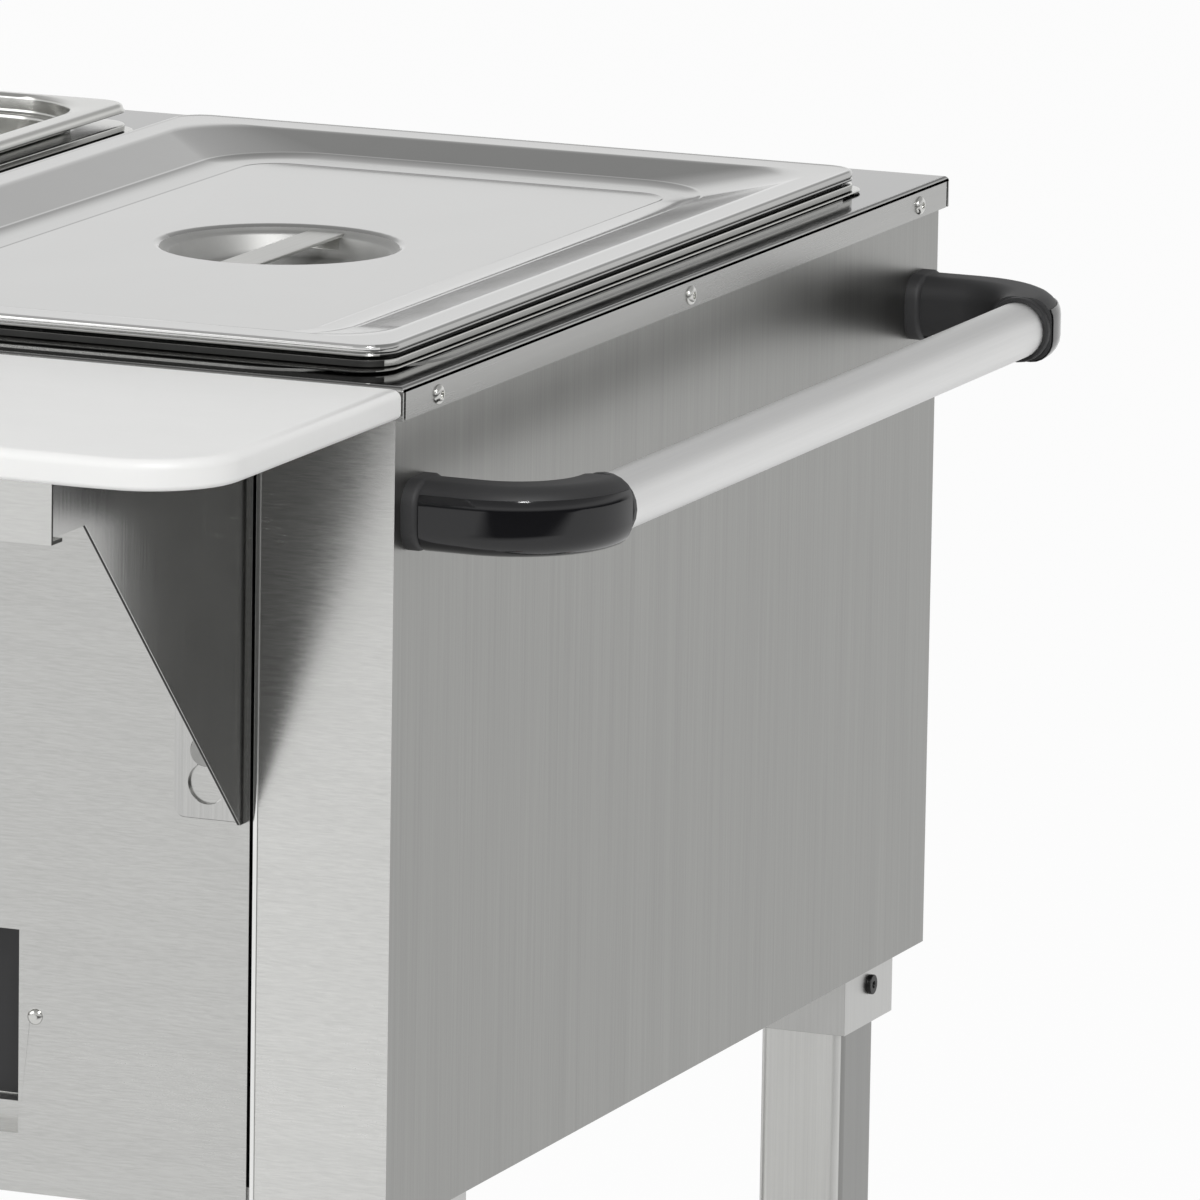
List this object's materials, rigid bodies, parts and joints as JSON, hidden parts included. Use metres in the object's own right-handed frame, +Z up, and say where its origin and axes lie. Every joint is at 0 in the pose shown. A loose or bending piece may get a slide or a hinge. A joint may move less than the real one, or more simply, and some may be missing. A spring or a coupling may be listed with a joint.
{
  "type": "mobile steam table",
  "caption": "Wheeled steel steam table with lift-out pans, lids, a front cutting board on brackets, a push bar, legs and swivel casters.",
  "frame": {"origin": "on the floor, under the middle of the outer box", "axes": "+X along the table towards the push bar, -Y towards the server and the cutting board, +Z up"},
  "size_m": [1.157, 0.807, 0.8784],
  "materials": {
    "top_steel": "polished sheet",
    "brushed_panel": "vertical brushed grain",
    "front_steel": "fine horizontal grain",
    "well_steel": "plain mill sheet",
    "element_steel": "darkened tube",
    "pan_steel": "satin drawn sheet",
    "lid_steel": "satin drawn sheet",
    "bracket_steel": "bent sheet",
    "leg_steel": "lengthwise brushed tube",
    "screw_steel": "plated",
    "overlay_black": "satin black film",
    "control_case": "moulded",
    "knob_black": "satin black",
    "light_amber": "clear amber",
    "block_white": "moulded",
    "gland_black": "moulded",
    "board_white": "satin white",
    "bar_aluminium": "satin anodised",
    "arm_black": "glossy moulded",
    "caster_zinc": "zinc plated",
    "wheel_rubber": "grey tread on a moulded hub",
    "brake_red": "moulded pedal"
  },
  "bodies": {
    "cabinet": {"table_top": "top_steel", "right_side_panel": "brushed_panel", "left_side_panel": "brushed_panel", "front_panel": "front_steel", "back_panel": "front_steel", "cabinet_floor": "well_steel", "left_well": "well_steel", "middle_well": "well_steel", "right_well": "well_steel", "heating_elements": "element_steel", "control_panel": "front_steel", "control_overlay": "overlay_black", "heat_controls": "control_case", "indicator_lights": "light_amber", "terminal_block": "block_white", "cord_gland": "gland_black", "bracket_screws": "screw_steel", "lip_screws": "screw_steel", "panel_rivets": "screw_steel", "push_bar": "bar_aluminium", "front_bar_arm": "arm_black", "rear_bar_arm": "arm_black", "bar_bolts": "screw_steel", "leg_sockets": "bracket_steel", "front_left_leg": "leg_steel", "front_right_leg": "leg_steel", "rear_right_leg": "leg_steel", "rear_left_leg": "leg_steel", "leg_screws": "screw_steel", "undershelf": "brushed_panel", "caster_stems": "caster_zinc"},
    "left_spillage": {"left_spillage_pan": "pan_steel"},
    "middle_spillage": {"middle_spillage_pan": "pan_steel"},
    "right_spillage": {"right_spillage_pan": "pan_steel"},
    "left_food": {"left_food_pan": "pan_steel"},
    "middle_food": {"middle_food_pan": "pan_steel"},
    "right_food": {"right_food_pan": "pan_steel"},
    "insert": {"insert_pan": "pan_steel"},
    "left_cover": {"left_lid": "lid_steel", "left_lid_strap": "lid_steel"},
    "right_cover": {"right_lid": "lid_steel", "right_lid_strap": "lid_steel"},
    "left_control": {"left_knob": "knob_black"},
    "middle_control": {"middle_knob": "knob_black"},
    "right_control": {"right_knob": "knob_black"},
    "board_carrier": {"board_rail": "bracket_steel", "right_bracket": "bracket_steel", "left_bracket": "bracket_steel"},
    "board": {"cutting_board": "board_white", "board_pegs": "screw_steel"},
    "front_left_swivel": {"front_left_fork": "caster_zinc"},
    "front_right_swivel": {"front_right_fork": "caster_zinc"},
    "rear_right_swivel": {"rear_right_fork": "caster_zinc"},
    "rear_left_swivel": {"rear_left_fork": "caster_zinc"},
    "front_left_roller": {"front_left_wheel": "wheel_rubber"},
    "front_right_roller": {"front_right_wheel": "wheel_rubber"},
    "rear_right_roller": {"rear_right_wheel": "wheel_rubber"},
    "rear_left_roller": {"rear_left_wheel": "wheel_rubber"},
    "front_pedal": {"front_brake": "brake_red"},
    "rear_pedal": {"rear_brake": "brake_red"}
  },
  "joints": [
    {"name": "left_spillage_lift", "type": "slide", "parent": "cabinet", "child": "left_spillage", "axis": [0, 0, 1], "range_m": [0, 0.2]},
    {"name": "left_food_lift", "type": "slide", "parent": "left_spillage", "child": "left_food", "axis": [0, 0, 1], "range_m": [0, 0.13]},
    {"name": "middle_spillage_lift", "type": "slide", "parent": "cabinet", "child": "middle_spillage", "axis": [0, 0, 1], "range_m": [0, 0.2]},
    {"name": "middle_food_lift", "type": "slide", "parent": "middle_spillage", "child": "middle_food", "axis": [0, 0, 1], "range_m": [0, 0.13]},
    {"name": "right_spillage_lift", "type": "slide", "parent": "cabinet", "child": "right_spillage", "axis": [0, 0, 1], "range_m": [0, 0.2]},
    {"name": "right_food_lift", "type": "slide", "parent": "right_spillage", "child": "right_food", "axis": [0, 0, 1], "range_m": [0, 0.13]},
    {"name": "insert_lift", "type": "slide", "parent": "middle_food", "child": "insert", "axis": [0, 0, 1], "range_m": [0, 0.1]},
    {"name": "left_cover_lift", "type": "slide", "parent": "left_food", "child": "left_cover", "axis": [0, 0, 1], "range_m": [0, 0.1]},
    {"name": "right_cover_lift", "type": "slide", "parent": "right_food", "child": "right_cover", "axis": [0, 0, 1], "range_m": [0, 0.1]},
    {"name": "left_control_turn", "type": "hinge", "parent": "cabinet", "child": "left_control", "pos_m": [-0.28155, -0.1918, 0.587], "axis": [0, 1, 0], "range_deg": [0, 300]},
    {"name": "middle_control_turn", "type": "hinge", "parent": "cabinet", "child": "middle_control", "pos_m": [-0.03655, -0.1918, 0.587], "axis": [0, 1, 0], "range_deg": [0, 300]},
    {"name": "right_control_turn", "type": "hinge", "parent": "cabinet", "child": "right_control", "pos_m": [0.20845, -0.1918, 0.587], "axis": [0, 1, 0], "range_deg": [0, 300]},
    {"name": "carrier_lift", "type": "slide", "parent": "cabinet", "child": "board_carrier", "axis": [0, 0, 1], "range_m": [0, 0.014]},
    {"name": "board_lift", "type": "slide", "parent": "board_carrier", "child": "board", "axis": [0, 0, 1], "range_m": [0, 0.05]},
    {"name": "front_left_swivel_turn", "type": "hinge", "parent": "cabinet", "child": "front_left_swivel", "pos_m": [-0.54835, -0.137, 0.138], "axis": [0, 0, 1], "continuous": true},
    {"name": "front_left_wheel_spin", "type": "hinge", "parent": "front_left_swivel", "child": "front_left_roller", "pos_m": [-0.51335, -0.137, 0.0625], "axis": [0, 1, 0], "continuous": true},
    {"name": "front_right_swivel_turn", "type": "hinge", "parent": "cabinet", "child": "front_right_swivel", "pos_m": [0.47525, -0.137, 0.138], "axis": [0, 0, 1], "continuous": true},
    {"name": "front_right_wheel_spin", "type": "hinge", "parent": "front_right_swivel", "child": "front_right_roller", "pos_m": [0.51025, -0.137, 0.0625], "axis": [0, 1, 0], "continuous": true},
    {"name": "rear_right_swivel_turn", "type": "hinge", "parent": "cabinet", "child": "rear_right_swivel", "pos_m": [0.47525, 0.334, 0.138], "axis": [0, 0, 1], "continuous": true},
    {"name": "rear_right_wheel_spin", "type": "hinge", "parent": "rear_right_swivel", "child": "rear_right_roller", "pos_m": [0.51025, 0.334, 0.0625], "axis": [0, 1, 0], "continuous": true},
    {"name": "rear_left_swivel_turn", "type": "hinge", "parent": "cabinet", "child": "rear_left_swivel", "pos_m": [-0.54835, 0.334, 0.138], "axis": [0, 0, 1], "continuous": true},
    {"name": "rear_left_wheel_spin", "type": "hinge", "parent": "rear_left_swivel", "child": "rear_left_roller", "pos_m": [-0.51335, 0.334, 0.0625], "axis": [0, 1, 0], "continuous": true},
    {"name": "front_brake_press", "type": "hinge", "parent": "front_right_swivel", "child": "front_pedal", "pos_m": [0.54325, -0.137, 0.125], "axis": [0, 1, 0], "range_deg": [0, 12]},
    {"name": "rear_brake_press", "type": "hinge", "parent": "rear_right_swivel", "child": "rear_pedal", "pos_m": [0.54325, 0.334, 0.125], "axis": [0, 1, 0], "range_deg": [0, 12]}
  ]
}
